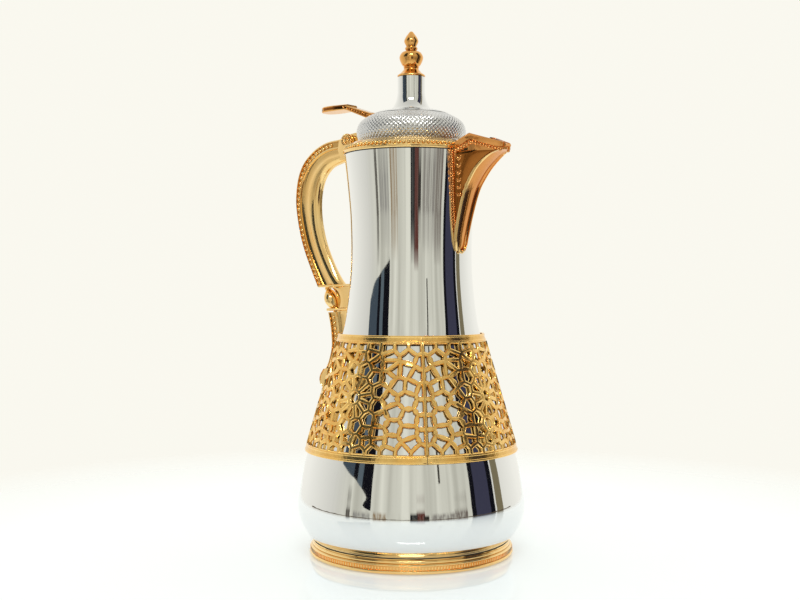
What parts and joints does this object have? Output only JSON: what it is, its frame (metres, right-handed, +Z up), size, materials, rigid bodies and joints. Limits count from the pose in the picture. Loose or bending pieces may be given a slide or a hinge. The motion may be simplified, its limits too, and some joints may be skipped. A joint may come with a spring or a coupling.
{
  "type": "dallah coffee pot",
  "caption": "Waisted vacuum coffee pot with a hinged knurled lid, thumb lever, beak spout, C-shaped handle and an openwork band round the lower body.",
  "frame": {"origin": "centre of the base pad's underside, on the axis of the body, at table level", "axes": "+Z up along the axis of the body; the spout points to +X and the handle to -X"},
  "size_m": [0.1664, 0.138, 0.3183],
  "materials": {
    "chrome": "mirror polished",
    "knurled_silver": "polished, diamond knurled",
    "gold": "gold plated, polished",
    "gold_openwork": "gold plated openwork",
    "steel": "plain",
    "dark_seal": "matt black",
    "base_rubber": "matt black",
    "silicone": "translucent white",
    "moulding": "cream",
    "base_moulding": "fine grain",
    "silvered_glass": "silvered on the vacuum side",
    "foam": "closed-cell foam"
  },
  "bodies": {
    "pot": {"body_shell": "chrome", "openwork_band": "gold_openwork", "neck_collar": "gold", "collar_seal": "dark_seal", "foot_ring": "gold", "foot_seal": "dark_seal", "base_ring": "moulding", "base_cap": "base_moulding", "base_pad": "base_rubber", "liner_cushion": "base_rubber", "liner_outer_wall": "silvered_glass", "liner_inner_wall": "silvered_glass", "liner_spacers": "moulding", "mouth_gasket": "silicone", "mouth_funnel": "moulding", "handle": "gold", "handle_screws": "steel", "spout": "gold", "spout_screws": "steel", "hinge_pin": "steel", "hinge_caps": "gold"},
    "lid": {"hinge_arm": "gold", "arm_rivets": "steel", "lid_dome": "knurled_silver", "lid_neck": "chrome", "finial": "gold", "finial_stud": "steel", "finial_washer": "steel", "finial_nut": "steel", "thumb_lever": "gold", "lever_rivets": "gold", "lid_plate": "moulding", "stopper": "moulding", "stopper_seal": "silicone", "stopper_foam": "foam", "stopper_screws": "steel"}
  },
  "joints": [
    {"name": "lid_hinge", "type": "hinge", "parent": "pot", "child": "lid", "pos_m": [-0.048, 0, 0.2548], "axis": [0, -1, 0], "range_deg": [0, 46]}
  ]
}
